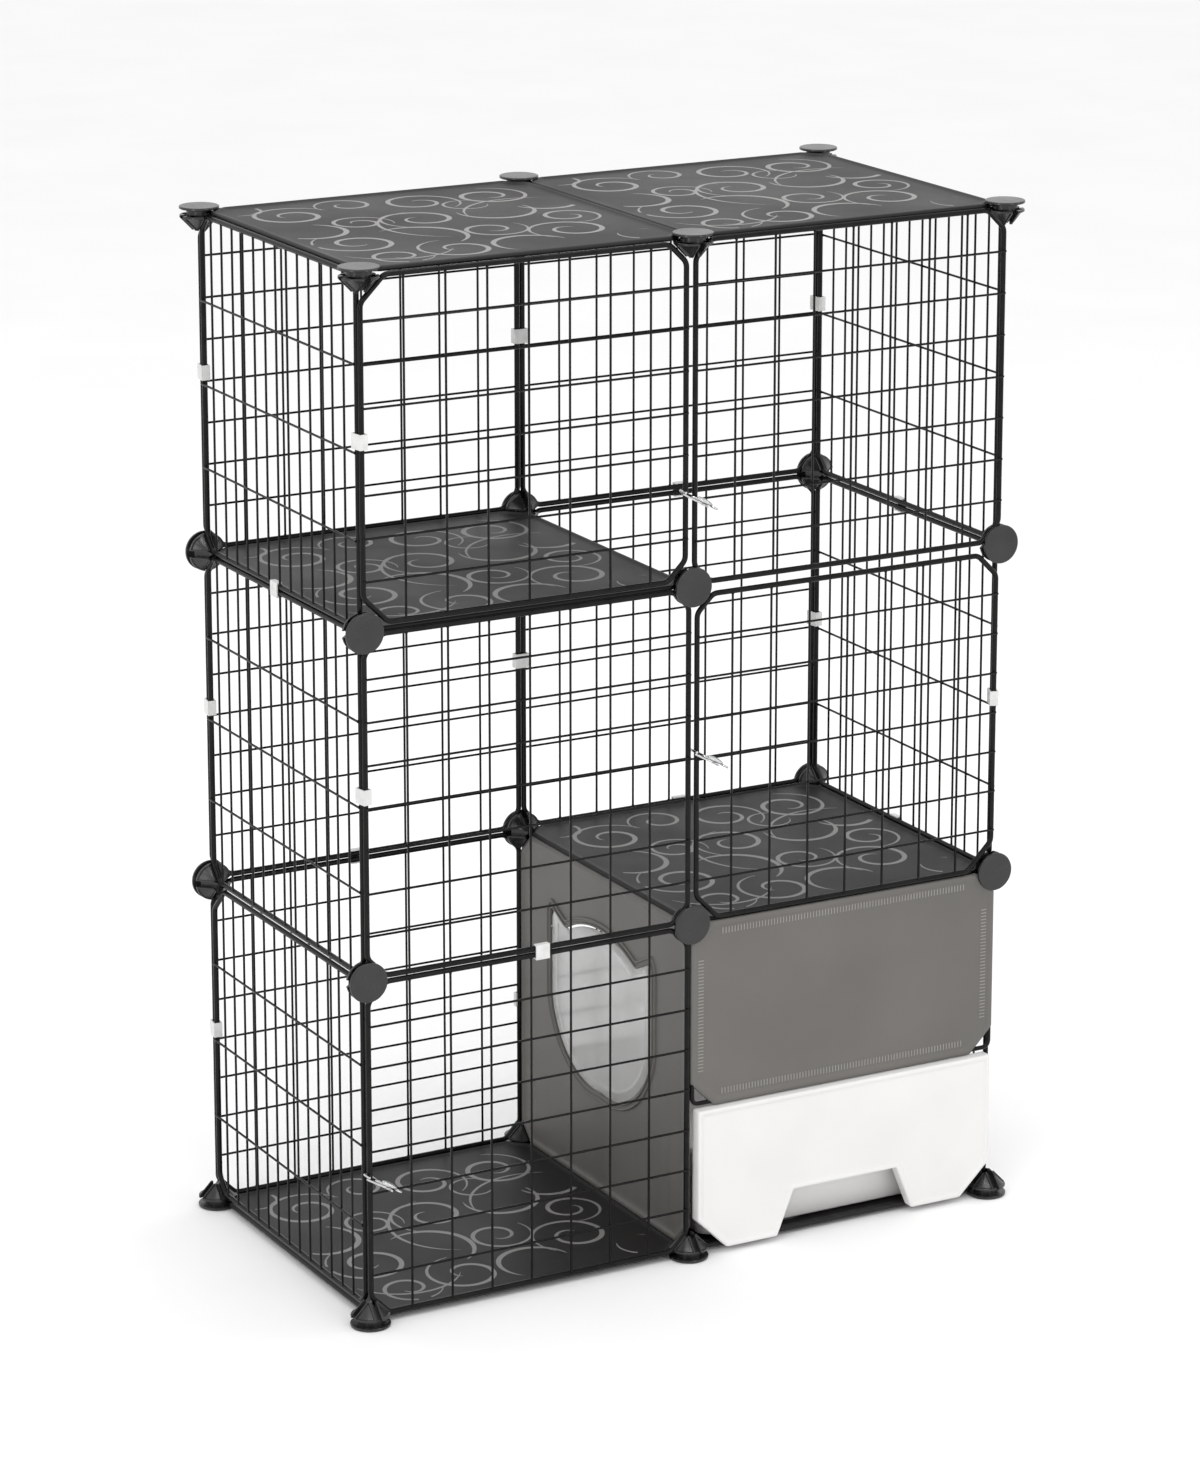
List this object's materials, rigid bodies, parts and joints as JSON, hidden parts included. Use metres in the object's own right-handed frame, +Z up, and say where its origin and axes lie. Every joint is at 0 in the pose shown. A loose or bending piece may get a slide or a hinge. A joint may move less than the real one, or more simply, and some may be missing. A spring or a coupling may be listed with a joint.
{
  "type": "cat cage",
  "caption": "Modular wire cage with shelves, hinged doors, a cat-head flap in a partition and a litter drawer.",
  "frame": {"origin": "on the floor under the middle of the cage, at the underside of the feet", "axes": "+X to the right seen from the front, -Y out of the front, +Z up"},
  "size_m": [0.752, 0.396, 1.0466],
  "materials": {
    "connector_black": "gloss",
    "wire_black": "gloss powder coat",
    "sheet_grey": "satin",
    "sheet_dark": "satin",
    "drawer_white": "satin",
    "flap_clear": "satin, translucent",
    "clip_white": "satin",
    "hook_chrome": "polished"
  },
  "bodies": {
    "cage": {"connector_back_left_0": "connector_black", "connector_back_left_1": "connector_black", "connector_back_left_2": "connector_black", "connector_back_left_3": "connector_black", "connector_back_mid_0": "connector_black", "connector_back_mid_1": "connector_black", "connector_back_mid_2": "connector_black", "connector_back_mid_3": "connector_black", "connector_back_right_0": "connector_black", "connector_back_right_1": "connector_black", "connector_back_right_2": "connector_black", "connector_back_right_3": "connector_black", "connector_front_left_0": "connector_black", "connector_front_left_1": "connector_black", "connector_front_left_2": "connector_black", "connector_front_left_3": "connector_black", "connector_front_mid_0": "connector_black", "connector_front_mid_1": "connector_black", "connector_front_mid_2": "connector_black", "connector_front_mid_3": "connector_black", "connector_front_right_0": "connector_black", "connector_front_right_1": "connector_black", "connector_front_right_2": "connector_black", "connector_front_right_3": "connector_black", "flap_trim": "sheet_grey", "grid_back_low_left": "wire_black", "grid_back_low_right": "wire_black", "grid_back_mid_left": "wire_black", "grid_back_mid_right": "wire_black", "grid_back_top_left": "wire_black", "grid_back_top_right": "wire_black", "grid_front_low_left": "wire_black", "grid_front_mid_left": "wire_black", "grid_front_top_right": "wire_black", "grid_left_mid": "wire_black", "grid_left_top": "wire_black", "grid_right_low": "wire_black", "grid_right_mid": "wire_black", "grid_right_top": "wire_black", "hook_low_body": "hook_chrome", "sheet_floor_left": "sheet_dark", "sheet_floor_right": "sheet_dark", "sheet_litter_front": "sheet_grey", "sheet_partition": "sheet_grey", "sheet_roof_left": "sheet_dark", "sheet_roof_right": "sheet_dark", "sheet_shelf_left": "sheet_dark", "sheet_shelf_right": "sheet_dark", "wire_clips": "clip_white"},
    "door_top": {"door_top": "wire_black", "hook_top_body": "hook_chrome"},
    "door_mid": {"door_mid": "wire_black", "hook_mid_body": "hook_chrome"},
    "door_low": {"door_low": "wire_black"},
    "flap": {"cat_flap": "flap_clear"},
    "drawer": {"drawer_tray": "drawer_white", "drawer_front": "drawer_white"},
    "gate_top": {"hook_top_gate": "hook_chrome"},
    "gate_mid": {"hook_mid_gate": "hook_chrome"},
    "gate_low": {"hook_low_gate": "hook_chrome"}
  },
  "joints": [
    {"name": "door_top_hinge", "type": "hinge", "parent": "cage", "child": "door_top", "pos_m": [-0.3551, -0.178, 0.8683], "axis": [0, 0, -1], "range_deg": [0, 110]},
    {"name": "door_mid_hinge", "type": "hinge", "parent": "cage", "child": "door_mid", "pos_m": [0.3535, -0.178, 0.5233], "axis": [0, 0, 1], "range_deg": [0, 110]},
    {"name": "door_low_hinge", "type": "hinge", "parent": "cage", "child": "door_low", "pos_m": [-0.356, 0.17192, 0.1783], "axis": [0, 0, -1], "range_deg": [0, 75]},
    {"name": "cat_flap_hinge", "type": "hinge", "parent": "cage", "child": "flap", "pos_m": [0, 0.0035, 0.2638], "axis": [0, 1, 0], "range_deg": [-80, 80]},
    {"name": "drawer_slide", "type": "slide", "parent": "cage", "child": "drawer", "axis": [0, -1, 0], "range_m": [0, 0.3]},
    {"name": "gate_top_pivot", "type": "hinge", "parent": "door_top", "child": "gate_top", "pos_m": [0.00917, -0.18664, 0.78035], "axis": [-0.5, 0, -0.866], "range_deg": [0, 6], "stiffness_Nm_per_rad": 0.02, "springref_deg": -17.19},
    {"name": "gate_mid_pivot", "type": "hinge", "parent": "door_mid", "child": "gate_mid", "pos_m": [0.02277, -0.18664, 0.51735], "axis": [-0.5, 0, -0.866], "range_deg": [0, 6], "stiffness_Nm_per_rad": 0.02, "springref_deg": -17.19},
    {"name": "gate_low_pivot", "type": "hinge", "parent": "cage", "child": "gate_low", "pos_m": [-0.3389, -0.18664, 0.14207], "axis": [-0.515, 0, -0.8572], "range_deg": [0, 6], "stiffness_Nm_per_rad": 0.02, "springref_deg": -17.19}
  ]
}
